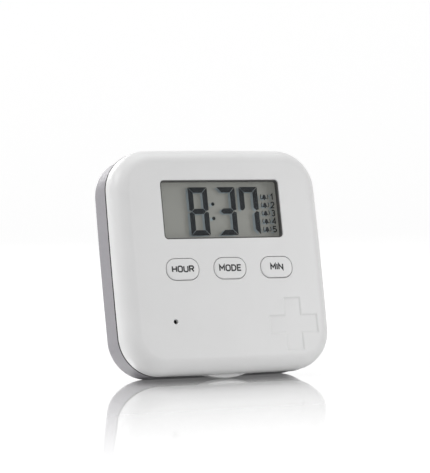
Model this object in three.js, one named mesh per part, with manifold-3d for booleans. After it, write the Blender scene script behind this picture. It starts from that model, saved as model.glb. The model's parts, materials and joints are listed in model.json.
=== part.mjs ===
// A pill-reminder timer: a square, round-cornered clamshell that stands leaning back on its edge.
// The white lid is the clock, with a display, three buttons and a buzzer. The grey case behind it
// holds five pill compartments. A pin along the top edge joins the two, and a thumb tab under the
// lid opens it.
//
// Millimetres. The pieces are drawn in the case's own frame: x to the right, y from the face
// towards the back, z up the face, with the origin at the middle of the face. The last lines lean
// the finished case back and set it down on z = 0.
import * as THREE from "three";
import { mergeVertices } from "three/addons/utils/BufferGeometryUtils.js";
import Module from "manifold-3d";

const wasm = await Module();
wasm.setup();

// ---- Driving dimensions ----

const leanDegrees = 12.5;
const fit = 0.3; // clearance round pieces that move or drop in
const seat = 0.1; // clearance under pieces that are glued, screwed or clamped

// The outline: four slightly bowed sides and four round corners.
const faceHalf = 44;
const sideRadius = 2000;
const cornerRadius = 15.8;

const lidDepth = 10;
const lidWall = 1.8;
const lidRound = { depth: 6.4, inset: 6.1 };

// A dark strip on the lid's back edge, a little proud of it, and the case behind it.
const seal = { front: lidDepth + seat, back: lidDepth + 0.6, width: 1.8, proud: 0.1 };

const caseInset = 0.3;
const caseFront = seal.back + fit;
const caseBack = 25.6;
const caseWall = 1.4;
const caseRound = { depth: 5, inset: 5.2 };
const standFlat = 0.3; // how much of the case's lower back edge is flat to stand on

const hinge = { y: 12.7, z: 42.8, barrel: 2.1, pin: 0.8, middle: 9.6, end: 18 };

const tab = { radius: 28, front: 9.2, back: 12.4, rootHeight: 0.7 };

const window = { x: 0.45, z: 19.55, width: 50.85, height: 23.1, corner: 1.6 };

const button = { x: 1.4, z: -3.85, pitch: 20.15, width: 13.5, height: 8.2, corner: 3.75, travel: 0.4 };
const buttonNames = ["hour", "mode", "min"];

const soundHole = { x: -23.5, z: -24, radius: 0.95 };
const cross = { x: 26.8, z: -26.4, span: 20.6, arm: 6.9, depth: 0.4 };

const board = { front: 6.9, back: 7.9 };
const boardScrews = [[-33.5, 20], [33.5, 20], [-31, -18.5], [33.5, -5]];

const cover = { half: 40.2, flangeFront: 8.5, flangeBack: 9.7, back: 14.4, wall: 1.2 };
const coverScrew = 34.6;

const cell = { radius: 5.15, length: 44.1, pitch: 10.7, nub: 0.8 };
const batteryBox = { x: 7.85, z: -20.75, inside: [48.5, 21.5], wall: 0.9, front: 2.05, floor: 0.5, back: 12 };
const door = { width: 50.2, height: 22.6, travel: 3 };

const insert = { half: 41.6, front: 15.2, back: 23.9, wall: 0.9, floor: 0.9, divider: 1 };

// ---- Colours ----

function plastic(color, roughness = 0.5) {
  return new THREE.MeshStandardMaterial({ color, roughness, metalness: 0 });
}

function metal(color, roughness = 0.35) {
  return new THREE.MeshStandardMaterial({ color, roughness, metalness: 1 });
}

const white = plastic(0xe4e4e4, 0.45);
const grey = plastic(0x85828a, 0.55);
const frosted = plastic(0xdde2e4, 0.4);
const black = plastic(0x1c1c1e, 0.6);
const clear = new THREE.MeshStandardMaterial({
  color: 0xf2f5f4, roughness: 0.05, transparent: true, opacity: 0.2,
});
const displayGlass = new THREE.MeshStandardMaterial({ color: 0x9c9e94, roughness: 0.2 });
const foil = metal(0xb4b6aa, 0.5);
const rubber = plastic(0x3a3d40, 0.9);
const boardGreen = plastic(0x1f6b45, 0.45);
const steel = metal(0xc4c6c8, 0.3);
const nickel = metal(0xcfcabd, 0.3);
const cellSleeve = plastic(0x2f5f8a, 0.35);
const redSleeve = plastic(0xb0282a, 0.5);
const blackSleeve = plastic(0x222224, 0.5);

// ---- Solids ----

// A closed three.js geometry as a manifold-3d solid. A solid passes through unchanged.
function solid(shape) {
  if (!shape.isBufferGeometry) return shape;
  const bare = shape.clone();
  bare.deleteAttribute("normal");
  bare.deleteAttribute("uv");
  const merged = mergeVertices(bare, 1e-4);
  const vertProperties = merged.attributes.position.array;
  const triVerts = new Uint32Array(merged.index.array);
  return new wasm.Manifold(new wasm.Mesh({ numProp: 3, vertProperties, triVerts }));
}

function join(...shapes) {
  return shapes.map(solid).reduce((all, next) => all.add(next));
}

function cut(base, ...tools) {
  return tools.reduce((left, tool) => left.subtract(solid(tool)), solid(base));
}

function common(a, b) {
  return solid(a).intersect(solid(b));
}

function geometryOf(shape) {
  const made = solid(shape).getMesh();
  const geometry = new THREE.BufferGeometry();
  geometry.setAttribute("position", new THREE.BufferAttribute(made.vertProperties, made.numProp));
  geometry.setIndex(new THREE.BufferAttribute(made.triVerts, 1));
  geometry.computeVertexNormals();
  return geometry;
}

// ---- Shapes ----

// The outline of the whole object, or one parallel to it and `half` from the middle.
function outline(half, cornerSteps = 10, sideSteps = 2) {
  const inset = faceHalf - half;
  const side = sideRadius - inset;
  const corner = cornerRadius - inset;
  const turn = Math.acos((side - half) / (side - corner) / Math.SQRT2) - Math.PI / 4;
  const centre = (side - corner) * Math.sin(turn);
  const points = [];
  const middle = new THREE.Vector2();
  for (let quarter = 0; quarter < 4; quarter++) {
    const turned = (quarter * Math.PI) / 2;
    for (let i = 0; i < sideSteps; i++) {
      const angle = -turn + (2 * turn * i) / sideSteps;
      const point = new THREE.Vector2(half - side + side * Math.cos(angle), side * Math.sin(angle));
      points.push(point.rotateAround(middle, turned));
    }
    for (let i = 0; i < cornerSteps; i++) {
      const angle = turn + ((Math.PI / 2 - 2 * turn) * i) / cornerSteps;
      const point = new THREE.Vector2(centre + corner * Math.cos(angle), centre + corner * Math.sin(angle));
      points.push(point.rotateAround(middle, turned));
    }
  }
  return new THREE.Shape(points);
}

function roundedRectangle(width, height, radius, x = 0, z = 0) {
  const right = x + width / 2 - radius;
  const left = x - width / 2 + radius;
  const top = z + height / 2 - radius;
  const bottom = z - height / 2 + radius;
  const quarter = Math.PI / 2;
  return new THREE.Shape()
    .absarc(right, top, radius, 0, quarter)
    .absarc(left, top, radius, quarter, 2 * quarter)
    .absarc(left, bottom, radius, 2 * quarter, 3 * quarter)
    .absarc(right, bottom, radius, 3 * quarter, 4 * quarter);
}

// A shape drawn in x and z, standing from y = front to y = back.
function slab(shape, front, back, curveSegments = 4) {
  const settings = { depth: back - front, bevelEnabled: false, curveSegments };
  const geometry = new THREE.ExtrudeGeometry(shape, settings);
  return geometry.translate(0, 0, -back).rotateX(Math.PI / 2);
}

// The same with both ends rounded over, `depth` along y and `inset` inwards.
function roundedSlab(shape, front, back, { depth, inset }, bevelSegments, curveSegments = 4) {
  const geometry = new THREE.ExtrudeGeometry(shape, {
    depth: back - front - 2 * depth,
    bevelThickness: depth,
    bevelSize: inset,
    bevelOffset: -inset,
    bevelSegments,
    curveSegments,
  });
  return geometry.translate(0, 0, depth - back).rotateX(Math.PI / 2);
}

function box(x0, x1, y0, y1, z0, z1) {
  const geometry = new THREE.BoxGeometry(x1 - x0, y1 - y0, z1 - z0);
  return geometry.translate((x0 + x1) / 2, (y0 + y1) / 2, (z0 + z1) / 2);
}

// Everything in front of y, or everything behind it.
const far = 80;
const inFrontOf = (y) => box(-far, far, -far, y, -far, far);
const behind = (y) => box(-far, far, y, far, -far, far);

// A cylinder along y.
function disc(x, z, radius, y0, y1, sides = 24) {
  return new THREE.CylinderGeometry(radius, radius, y1 - y0, sides).translate(x, (y0 + y1) / 2, z);
}

// A cylinder along x.
function bar(y, z, radius, x0, x1, sides = 24) {
  const geometry = new THREE.CylinderGeometry(radius, radius, x1 - x0, sides).rotateZ(Math.PI / 2);
  return geometry.translate((x0 + x1) / 2, y, z);
}

// A round wire or lead along a curve.
function wire(curve, radius, steps, sides = 8) {
  const section = new THREE.Shape().absarc(0, 0, radius, 0, 2 * Math.PI);
  return new THREE.ExtrudeGeometry(section, { steps, extrudePath: curve, curveSegments: sides / 2 });
}

// ---- Assembly ----

const timer = new THREE.Group();

function place(name, shape, material, x = 0, y = 0, z = 0) {
  const mesh = new THREE.Mesh(geometryOf(shape), material);
  mesh.name = name;
  mesh.position.set(x, y, z);
  timer.add(mesh);
}

const atButtons = (make) => buttonNames.forEach((name, i) => make(name, button.x + (i - 1) * button.pitch));

const corners = [[-1, 1], [1, 1], [-1, -1], [1, -1]];

const lean = THREE.MathUtils.degToRad(leanDegrees);

// How far the ground lies below the middle of the face when the case leans back. The lowest point of
// the case's rounded back edge is level with it, less the part that is cut flat.
function groundDrop() {
  const sin = Math.sin(lean);
  const cos = Math.cos(lean);
  const reach = Math.hypot(caseRound.depth * sin, caseRound.inset * cos);
  const touchY = caseBack - caseRound.depth + (caseRound.depth ** 2 * sin) / reach;
  const touchZ = faceHalf - caseInset - caseRound.inset + (caseRound.inset ** 2 * cos) / reach;
  return touchY * sin + touchZ * cos - standFlat;
}

// How far the thumb tab stands below the lid, so that it touches the ground too.
function tabDrop() {
  return (groundDrop() - tab.back * Math.sin(lean)) / Math.cos(lean) - faceHalf;
}

// The piece of a disc that stands below the lid's bottom edge.
function thumbTab() {
  const lowest = -faceHalf - tabDrop();
  const whole = disc(0, lowest + tab.radius, tab.radius, tab.front, tab.back, 96);
  return common(whole, box(-far, far, -far, far, -far, -faceHalf + tab.rootHeight));
}

// A barrel round the hinge pin with a web to one side of it, between two places along the pin.
function knuckle(x0, x1, webFront, webBack) {
  const barrel = bar(hinge.y, hinge.z, hinge.barrel, x0, x1);
  const web = box(x0, x1, webFront, webBack, hinge.z - 0.5, hinge.z + 0.7);
  return join(barrel, web);
}

const pinHole = bar(hinge.y, hinge.z, hinge.pin + 0.1, -far, far);

function screwBoss(x, z, radius, back) {
  return disc(x, z, radius, lidWall - 0.2, back, 20);
}

function lidShell() {
  const outside = cut(roundedSlab(outline(faceHalf), 0, 40, lidRound, 6), behind(lidDepth));
  const insideRound = { depth: lidRound.depth - lidWall, inset: lidRound.inset - lidWall };
  const inside = roundedSlab(outline(faceHalf - lidWall), lidWall, 40, insideRound, 3);
  const boardBosses = boardScrews.map(([x, z]) => screwBoss(x, z, 2.2, board.front - seat));
  const coverBosses = corners.map(([i, j]) =>
    screwBoss(i * coverScrew, j * coverScrew, 2.4, cover.flangeFront - seat),
  );
  const hollow = cut(outside, inside);
  const bosses = [...boardBosses, ...coverBosses].map((boss) => common(boss, outside));
  const knuckles = [-1, 1].map((side) => {
    const ends = [side * (hinge.middle + fit), side * hinge.end].sort((a, b) => a - b);
    return knuckle(...ends, lidDepth - 1.2, hinge.y);
  });
  const whole = join(hollow, ...bosses, ...knuckles, thumbTab());

  const windowHole = slab(
    roundedRectangle(window.width, window.height, window.corner, window.x, window.z), -1, lidWall + 1,
  );
  const buttonHoles = [];
  atButtons((name, x) => {
    const gap = 2 * fit;
    const hole = roundedRectangle(button.width + gap, button.height + gap, button.corner + fit, x, button.z);
    buttonHoles.push(slab(hole, -1, lidWall + 1));
  });
  const hole = disc(soundHole.x, soundHole.z, soundHole.radius, -1, lidWall + 1, 16);
  const reach = cross.span / 2;
  const half = cross.arm / 2;
  const across = box(cross.x - reach, cross.x + reach, -1, cross.depth, cross.z - half, cross.z + half);
  const upright = box(cross.x - half, cross.x + half, -1, cross.depth, cross.z - reach, cross.z + reach);
  const boardPilots = boardScrews.map(([x, z]) => disc(x, z, 0.9, 3, board.front, 12));
  const coverPilots = corners.map(([i, j]) =>
    disc(i * coverScrew, j * coverScrew, 1.1, 3.6, cover.flangeFront, 12));
  const recess = join(across, upright);
  return cut(whole, pinHole, windowHole, ...buttonHoles, hole, recess, ...boardPilots, ...coverPilots);
}

// The dark strip round the lid's back edge. It stops at the hinge and steps round the thumb tab.
function lidSeal() {
  const ring = cut(
    slab(outline(faceHalf + seal.proud), seal.front, seal.back),
    slab(outline(faceHalf - seal.width), seal.front - 1, seal.back + 1),
  );
  const hingeGap = box(-hinge.end - 2 * fit, hinge.end + 2 * fit, 0, far, 0, far);
  const tabGap = box(-12, 12, 0, far, -far, -faceHalf + tab.rootHeight + fit);
  return cut(ring, hingeGap, tabGap);
}

// A dark lining of the display's opening, with a flange behind the lid's wall.
function windowGasket() {
  const rim = (grow) =>
    roundedRectangle(window.width + grow, window.height + grow, window.corner + grow / 2, window.x, window.z);
  const lining = slab(rim(-2 * seat), 0.4, 2.1);
  const flange = slab(rim(2.8), lidWall + seat, 2.3);
  return cut(join(lining, flange), slab(rim(-0.9), -1, 3));
}

function windowLens() {
  return slab(roundedRectangle(window.width + 2.8, window.height + 2.8, 2, window.x, window.z), 2.4, 3.2);
}

const displaySize = [55.4, 30];
const displayEdge = 2.3; // the bare strip of glass along its top and bottom, where its contacts are

function lcdGlass() {
  return slab(roundedRectangle(...displaySize, 0.4, window.x, window.z), 3.3, 5.3, 1);
}

function lcdReflector() {
  const [width, height] = displaySize;
  return slab(roundedRectangle(width, height - 2 * displayEdge, 0.4, window.x, window.z), 5.4, 5.6, 1);
}

function lcdFrame() {
  const outside = slab(roundedRectangle(60, 33.6, 1.5, window.x, window.z), 3.3, board.front - seat, 2);
  const [width, height] = displaySize;
  return cut(outside, slab(roundedRectangle(width + fit, height + fit, 0.5, window.x, window.z), 3, 8, 1));
}

// A rubber strip that joins the display's contacts to the board's.
function zebraStrip(side) {
  const z = window.z + side * (displaySize[1] / 2 - displayEdge / 2);
  return box(window.x - 25, window.x + 25, 5.4, board.front - seat, z - 0.8, z + 0.8);
}

function circuitBoard() {
  const shape = new THREE.Shape([
    [-36, 24], [-36, -14], [-34, -31], [-19, -31], [-19, -8.5], [36, -8.5], [36, 24],
    [31.5, 26], [31.5, 35], [-31.5, 35], [-31.5, 26],
  ].map(([x, z]) => new THREE.Vector2(x, z)));
  const holes = boardScrews.map(([x, z]) => disc(x, z, 1.2, 6, 9, 16));
  return cut(slab(shape, board.front, board.back), ...holes);
}

// The drop of black resin over the chip.
function chipResin() {
  const profile = new THREE.CatmullRomCurve3([
    new THREE.Vector3(6.2, 0, 0), new THREE.Vector3(5.2, 0.9, 0),
    new THREE.Vector3(2.8, 1.5, 0), new THREE.Vector3(0, 1.7, 0),
  ]).getPoints(6).map(({ x, y }) => new THREE.Vector2(Math.max(x, 0), y));
  const turned = new THREE.LatheGeometry([new THREE.Vector2(0, 0), ...profile], 20);
  return turned;
}

function crystal() {
  const circle = new THREE.Shape().absarc(0, 0, 1, 0, 2 * Math.PI);
  return roundedSlab(circle, 0, 6, { depth: 0.25, inset: 0.25 }, 1, 6);
}

// A keycap with a flange behind the lid's wall and a short post for its switch.
function keycap() {
  const { width, height, corner } = button;
  const edge = { depth: 0.35, inset: 0.45 };
  const top = roundedSlab(roundedRectangle(width, height, corner), -0.25, 2.5, edge, 2, 5);
  const flange = slab(roundedRectangle(width + 1.6, height + 1.4, corner + 0.7), lidWall + fit, 2.9, 5);
  return join(top, flange, disc(0, 0, 2, 2.8, 3.3, 16));
}

function switchBody() {
  return cut(box(-3, 3, 4.3, board.front - seat, -3, 3), disc(0, 0, 1.6, 4, 6, 16));
}

function switchStem() {
  return disc(0, 0, 1.25, 3.4, 5.3, 16);
}

function buzzer() {
  const circle = new THREE.Shape().absarc(0, 0, 4.7, 0, 2 * Math.PI);
  const body = roundedSlab(circle, 2.4, 6.7, { depth: 0.4, inset: 0.4 }, 1, 12);
  return cut(body, disc(0, 0, 0.8, 2, 4, 12));
}

// A pan-head screw that points towards the face, with a cross slot in its head.
function screw(headRadius, headHeight, radius, length) {
  const head = new THREE.CylinderGeometry(headRadius * 0.75, headRadius, headHeight, 16)
    .translate(0, headHeight / 2, 0);
  const shank = disc(0, 0, radius, -length, 0.1, 12);
  const slot = headRadius * 0.55;
  const deep = headHeight * 0.5;
  const arms = [box(-slot, slot, deep, far, -0.2, 0.2), box(-0.2, 0.2, deep, far, -slot, slot)];
  return cut(join(head, shank), join(...arms));
}

// The open tray that holds the two cells, with a shelf beside it that the door slides over.
function cellTray() {
  const { x, z, inside, wall, front, floor, back } = batteryBox;
  const [width, height] = inside;
  const x0 = x - width / 2;
  const z0 = z - height / 2;
  const outside = box(x0 - wall, x0 + width + wall, front, back, z0 - wall, z0 + height + wall);
  const shelf = box(x0 - wall - door.travel - fit, x0, back - 0.8, back, z0 - wall, z0 + height + wall);
  const well = box(x0, x0 + width, front + floor, back + 1, z0, z0 + height);
  const rib = box(x0 + 12, x0 + 36, front, 6, z - 0.15, z + 0.15);
  const vee = [-1, 1].map((side) =>
    bar(cellY, z + (side * cell.pitch) / 2, cell.radius + 0.12, x0, x0 + width, 32));
  return cut(join(cut(join(outside, shelf), well), rib), ...vee);
}

const cellY = batteryBox.front + batteryBox.floor + 0.15 + cell.radius;
const cellEnds = batteryBox.inside[0] / 2;

// A cell along x with its positive nub towards +x.
function dryCell() {
  const { radius, length, nub } = cell;
  const can = bar(0, 0, radius, 0, length - nub, 28);
  return join(can, bar(0, 0, 1.8, length - nub - 0.1, length, 16));
}

// A flat contact against one end of the cell tray, standing up past its rim.
function contactPlate(z0, z1) {
  return box(-0.2, 0.2, 3.2, batteryBox.back - 0.4, z0, z1);
}

// The same, with a lug folded over the tray's end wall for its lead.
function contactWithLug(z0, z1) {
  const plate = box(-0.2, 0.2, 3.2, batteryBox.back + 0.5, z0, z1);
  const lug = box(-0.2, 2.6, batteryBox.back + 0.1, batteryBox.back + 0.5, z0 + 1.5, z1 - 1.5);
  return join(plate, lug);
}

// A conical coil between a contact and a cell's flat end, wound along x.
function cellSpring() {
  const turns = 3;
  const points = [];
  const steps = 14 * turns;
  for (let i = 0; i <= steps; i++) {
    const share = i / steps;
    const angle = 2 * Math.PI * turns * share;
    const radius = 3.4 - 1.2 * share;
    points.push(new THREE.Vector3(0.3 + 2.1 * share, radius * Math.cos(angle), radius * Math.sin(angle)));
  }
  return wire(new THREE.CatmullRomCurve3(points), 0.24, steps, 6);
}

// A lead from a contact's lug, up beside the tray, to the back of the board. Each lead runs
// `out` from the tray and `over` the board.
function lead(fromZ, toX, out, over) {
  const x = batteryBox.x + cellEnds + 2.9;
  const y = batteryBox.back + 0.3;
  const top = batteryBox.z + batteryBox.inside[1] / 2 + batteryBox.wall + 1.4;
  const way = [
    [x, y, fromZ],
    [x + out, y - 0.3, fromZ + 1.2],
    [x + out, board.back + over + 0.3, top - 3.4],
    [x, board.back + over, top],
    [toX + 1.5, board.back + over, top + 0.1],
    [toX, board.back + 1, top + 0.3],
    [toX, board.back + 0.15, top + 0.4],
  ];
  const curve = new THREE.CatmullRomCurve3(way.map((point) => new THREE.Vector3(...point)));
  return wire(curve, 0.5, 20);
}

// The pan that closes the back of the lid, with a flange inside the lid's rim.
function innerCover() {
  const flange = slab(outline(faceHalf - lidWall - fit), cover.flangeFront, cover.flangeBack);
  const pan = roundedSlab(outline(cover.half), -10, cover.back, { depth: 0.8, inset: 0.8 }, 2);
  const body = cut(pan, inFrontOf(cover.flangeFront));
  const hollow = slab(outline(cover.half - cover.wall), 0, cover.back - cover.wall);
  const wells = corners.map(([i, j]) =>
    disc(i * coverScrew, j * coverScrew, 2.7, cover.flangeFront, cover.back - 0.5, 20));
  const heads = corners.map(([i, j]) => disc(i * coverScrew, j * coverScrew, 2, 10.2, 20, 20));
  const shanks = corners.map(([i, j]) => disc(i * coverScrew, j * coverScrew, 1.3, 0, 20, 12));
  const catchNose = box(-4, 4, 12, 13, -cover.half - 0.95, -cover.half + 0.5);

  const gap = 2 * fit;
  const travel = door.travel + fit;
  const { x, z } = batteryBox;
  const doorway = slab(
    roundedRectangle(door.width + travel + fit, door.height + gap, 1.3, x - door.travel / 2, z), 10, 20, 3,
  );
  const tongueGates = tonguePlaces().map(([tx, side]) => {
    const tz = z + side * (door.height / 2);
    return box(tx - door.travel - 3.2, tx - door.travel + 3.2, 10, 20, tz - 1.2, tz + 1.2);
  });
  const whole = join(cut(join(flange, body), hollow), ...wells, catchNose);
  return cut(whole, ...heads, ...shanks, doorway, ...tongueGates);
}

// Where the door's tongues stand: their middle along x, and the side of the door.
function tonguePlaces() {
  const { x } = batteryBox;
  return [[x - 13, 1], [x + 17, 1], [x - 13, -1], [x + 17, -1]];
}

function batteryDoor() {
  const { x, z } = batteryBox;
  const floor = cover.back - cover.wall;
  const panel = slab(roundedRectangle(door.width, door.height, 1, x, z), floor + seat, cover.back, 3);
  const tongues = tonguePlaces().map(([tx, side]) => {
    const edge = z + (side * door.height) / 2;
    const [low, high] = [edge - side, edge + side * 0.8].sort((a, b) => a - b);
    return box(tx - 2.5, tx + 2.5, floor - 0.9, floor - 0.2, low, high);
  });
  const roots = tonguePlaces().map(([tx, side]) => {
    const edge = z + (side * door.height) / 2;
    const [low, high] = [edge - side, edge - side * 0.1].sort((a, b) => a - b);
    return box(tx - 2.5, tx + 2.5, floor - 0.9, cover.back - 0.4, low, high);
  });
  const grips = [0, 1, 2, 3, 4].map((i) => {
    const gx = x + 12 + 1.6 * i;
    return box(gx, gx + 0.8, cover.back - 0.3, far, z - 5, z + 5);
  });
  return cut(join(panel, ...tongues, ...roots), ...grips);
}

function rearCase() {
  const half = faceHalf - caseInset;
  const outside = cut(roundedSlab(outline(half), -20, caseBack, caseRound, 6), inFrontOf(caseFront));
  const insideRound = { depth: caseRound.depth - caseWall, inset: caseRound.inset - caseWall };
  const inside = roundedSlab(outline(half - caseWall), -20, caseBack - caseWall, insideRound, 3);
  const reach = hinge.barrel + fit;
  const hingeGap = box(-hinge.end - fit, hinge.end + fit, 0, hinge.y + reach, hinge.z - reach, far);
  const tabGap = box(-12, 12, 0, tab.back + fit + 0.1, -far, -faceHalf + tab.rootHeight + fit);
  const ridge = box(-5, 5, caseFront + 0.1, caseFront + 0.9, -half + caseWall - 0.3, -half + caseWall + 0.6);
  const ground = box(-far, far, -far, far, -far, -groundDrop()).rotateX(lean);
  const shell = cut(cut(outside, inside), hingeGap, tabGap, ground);
  const middle = knuckle(-hinge.middle, hinge.middle, hinge.y, hinge.y + reach + 1.5);
  return cut(join(shell, ridge, middle), pinHole);
}

// Five pill compartments: three above, two below.
function pillInsert() {
  const { half, front, back, wall, floor, divider } = insert;
  const outside = cut(roundedSlab(outline(half), -20, back, { depth: 3.6, inset: 3.8 }, 3), inFrontOf(front));
  const inside = roundedSlab(outline(half - wall), -20, back - floor, { depth: 2.6, inset: 2.8 }, 3);
  const thin = divider / 2;
  const third = half / 3;
  const walls = [
    box(-half, half, front, back, -thin, thin),
    box(-third - thin, -third + thin, front, back, 0, half),
    box(third - thin, third + thin, front, back, 0, half),
    box(-thin, thin, front, back, -half, 0),
  ];
  return cut(outside, cut(inside, ...walls));
}

function hingePin() {
  return bar(hinge.y, hinge.z, hinge.pin, -hinge.end + 0.2, hinge.end - 0.2, 20);
}

// Lid
place("lid_shell", lidShell(), white);
place("lid_seal", lidSeal(), black);
place("window_gasket", windowGasket(), black);
place("window_lens", windowLens(), clear);
place("lcd_glass", lcdGlass(), displayGlass);
place("lcd_reflector", lcdReflector(), foil);
place("lcd_frame", lcdFrame(), frosted);
place("zebra_strip_upper", zebraStrip(1), rubber);
place("zebra_strip_lower", zebraStrip(-1), rubber);
place("circuit_board", circuitBoard(), boardGreen);
place("chip_resin", chipResin(), black, -10, board.back + seat, 16);
place("crystal_can", crystal().rotateZ(-Math.PI / 2), steel, 8, board.back + 1.1, 24);
place("buzzer", buzzer(), black, soundHole.x, 0, soundHole.z);
atButtons((name, x) => {
  place(`keycap_${name}`, keycap(), white, x, 0, button.z);
  place(`switch_body_${name}`, switchBody(), black, x, 0, button.z);
  place(`switch_stem_${name}`, switchStem(), black, x, 0, button.z);
});
boardScrews.forEach(([x, z], i) => {
  place(`board_screw_${i + 1}`, screw(1.7, 1, 0.7, 3.6), steel, x, board.back + seat, z);
});

// Cells and their contacts
place("cell_tray", cellTray(), black);
const upperZ = batteryBox.z + cell.pitch / 2;
const lowerZ = batteryBox.z - cell.pitch / 2;
const leftEnd = batteryBox.x - cellEnds;
const rightEnd = batteryBox.x + cellEnds;
place("cell_upper", dryCell(), cellSleeve, rightEnd - 0.65 - cell.length, cellY, upperZ);
place("cell_lower", dryCell().rotate([0, 180, 0]), cellSleeve, leftEnd + 0.65 + cell.length, cellY, lowerZ);
place("contact_bridge", contactPlate(lowerZ - 4.4, upperZ + 4.4), nickel, leftEnd + 0.3);
place("contact_positive", contactWithLug(upperZ - 4.2, upperZ + 4.2), nickel, rightEnd - 0.3);
place("contact_negative", contactWithLug(lowerZ - 4.2, lowerZ + 4.2), nickel, rightEnd - 0.3);
place("cell_spring_upper", cellSpring(), nickel, leftEnd + 0.55, cellY, upperZ);
place("cell_spring_lower", solid(cellSpring()).rotate([0, 180, 0]), nickel, rightEnd - 0.55, cellY, lowerZ);
place("lead_positive", lead(upperZ, 29.5, 1, 1.6), redSleeve);
place("lead_negative", lead(lowerZ, 26, 2.4, 3), blackSleeve);

// The back of the lid
place("inner_cover", innerCover(), white);
corners.forEach(([i, j], index) => {
  place(`cover_screw_${index + 1}`, screw(1.75, 1.3, 0.9, 5.4), steel, i * coverScrew, 10.3, j * coverScrew);
});
place("battery_door", batteryDoor(), white);

// Case
place("rear_case", rearCase(), grey);
place("pill_insert", pillInsert(), frosted);
place("hinge_pin", hingePin(), steel);

// The case leans back and stands on z = 0, with the middle of its box over the origin.
timer.rotation.x = -lean;
const stand = new THREE.Group().add(timer);
stand.updateMatrixWorld(true);
const bounds = new THREE.Box3().setFromObject(stand, true);
const middleOfBox = bounds.getCenter(new THREE.Vector3());
timer.position.set(-middleOfBox.x, -middleOfBox.y, -bounds.min.z);

export default stand;
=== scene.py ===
"""The looks of the pill-reminder timer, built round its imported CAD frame.

Lengths are written in millimetres in the case's own frame: x to the right, y from the face towards
the back, z up the face, with the origin at the middle of the face. TO_WORLD leans them back with
the case and turns them into metres.
"""

import json
import math

import bmesh
import bpy
from mathutils import Matrix, Vector

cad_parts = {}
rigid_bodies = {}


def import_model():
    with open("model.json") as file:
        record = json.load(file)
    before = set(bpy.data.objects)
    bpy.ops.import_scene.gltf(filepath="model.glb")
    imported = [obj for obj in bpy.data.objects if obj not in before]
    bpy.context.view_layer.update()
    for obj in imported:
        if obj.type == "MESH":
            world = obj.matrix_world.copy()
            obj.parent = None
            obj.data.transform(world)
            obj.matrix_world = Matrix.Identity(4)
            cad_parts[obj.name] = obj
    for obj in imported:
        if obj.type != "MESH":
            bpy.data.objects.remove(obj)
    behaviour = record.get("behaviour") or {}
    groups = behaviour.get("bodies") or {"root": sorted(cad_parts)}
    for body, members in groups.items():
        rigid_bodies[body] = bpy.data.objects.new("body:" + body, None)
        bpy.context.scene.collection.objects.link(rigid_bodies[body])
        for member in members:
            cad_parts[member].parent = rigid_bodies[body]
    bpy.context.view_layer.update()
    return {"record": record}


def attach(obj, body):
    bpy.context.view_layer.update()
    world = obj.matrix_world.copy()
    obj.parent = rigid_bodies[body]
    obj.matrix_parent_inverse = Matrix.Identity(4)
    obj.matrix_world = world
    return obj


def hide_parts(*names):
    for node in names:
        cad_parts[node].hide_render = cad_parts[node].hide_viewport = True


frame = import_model()

# ---- The case's own frame ----

LEAN = math.radians(12.5)
CASE_DEPTH = 25.6
back_mount = next(m for m in frame["record"]["mounts"] if m["name"] == "back_face")
BACKWARDS = Vector((0, math.cos(LEAN), -math.sin(LEAN)))
FACE_CENTRE = Vector(back_mount["pos_m"]) - BACKWARDS * CASE_DEPTH / 1000
TO_WORLD = Matrix.Translation(FACE_CENTRE) @ Matrix.Rotation(-LEAN, 4, "X") @ Matrix.Scale(0.001, 4)


# ---- Camera ----

VIEW_AZIMUTH, VIEW_ELEVATION = math.radians(-25.3), math.radians(2.167)
VIEW_CENTRE = FACE_CENTRE * 1000 + Vector((0, 5.458, 1.048))
VIEW_RIGHT, VIEW_UP, VIEW_DISTANCE = -1.888, 7.263, 857.2
SENSOR = 36
IMAGE_HEIGHT, FOCAL_LENGTH = 473, 2200  # both in pixels


def add_camera():
    """A long lens in front of the object and to its left, almost level with it."""
    back = Vector((
        math.sin(VIEW_AZIMUTH) * math.cos(VIEW_ELEVATION),
        -math.cos(VIEW_AZIMUTH) * math.cos(VIEW_ELEVATION),
        math.sin(VIEW_ELEVATION),
    ))
    right = Vector((math.cos(VIEW_AZIMUTH), math.sin(VIEW_AZIMUTH), 0))
    up = back.cross(right)
    place = VIEW_CENTRE + VIEW_RIGHT * right + VIEW_UP * up + VIEW_DISTANCE * back
    data = bpy.data.cameras.new("camera")
    data.lens = SENSOR * FOCAL_LENGTH / IMAGE_HEIGHT
    data.clip_start, data.clip_end = 0.01, 50
    camera = bpy.data.objects.new("camera", data)
    turned = Matrix((right, up, back)).transposed().to_4x4()
    camera.matrix_world = Matrix.Translation(place / 1000) @ turned
    bpy.context.scene.collection.objects.link(camera)
    bpy.context.scene.camera = camera


add_camera()

# ---- Dimensions, as in the CAD ----

FACE_HALF, SIDE_RADIUS, CORNER_RADIUS = 44, 2000, 15.8
LID_DEPTH, LID_WALL = 10, 1.8
LID_ROUND = (6.4, 6.1)
SEAL_FRONT, SEAL_BACK, SEAL_WIDTH = 10.1, 10.6, 1.8
CASE_INSET, CASE_FRONT, CASE_WALL = 0.3, 10.9, 1.4
CASE_ROUND = (5, 5.2)
STAND_FLAT = 0.3
HINGE_Y, HINGE_Z, BARREL, PIN, MIDDLE, HINGE_END = 12.7, 42.8, 2.1, 0.8, 9.6, 18
FIT = 0.3
WINDOW = dict(x=0.45, z=19.55, width=50.85, height=23.1, corner=1.6)
BUTTON_X, BUTTON_Z, BUTTON_PITCH = 1.4, -3.85, 20.15
BUTTON = dict(width=13.5, height=8.2, corner=3.75)
BUTTON_GAP = 0.22
BUTTONS = ("hour", "mode", "min")
HOLE_RADIUS, HOLE_X, HOLE_Z = 0.95, -23.5, -24
CROSS = dict(span=20.6, arm=6.9, x=26.8, z=-26.4)
TAB_RADIUS, TAB_FRONT, TAB_BACK, TAB_ROOT = 28, 9.2, 12.4, 0.7
COVER_BACK = 14.4
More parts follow.
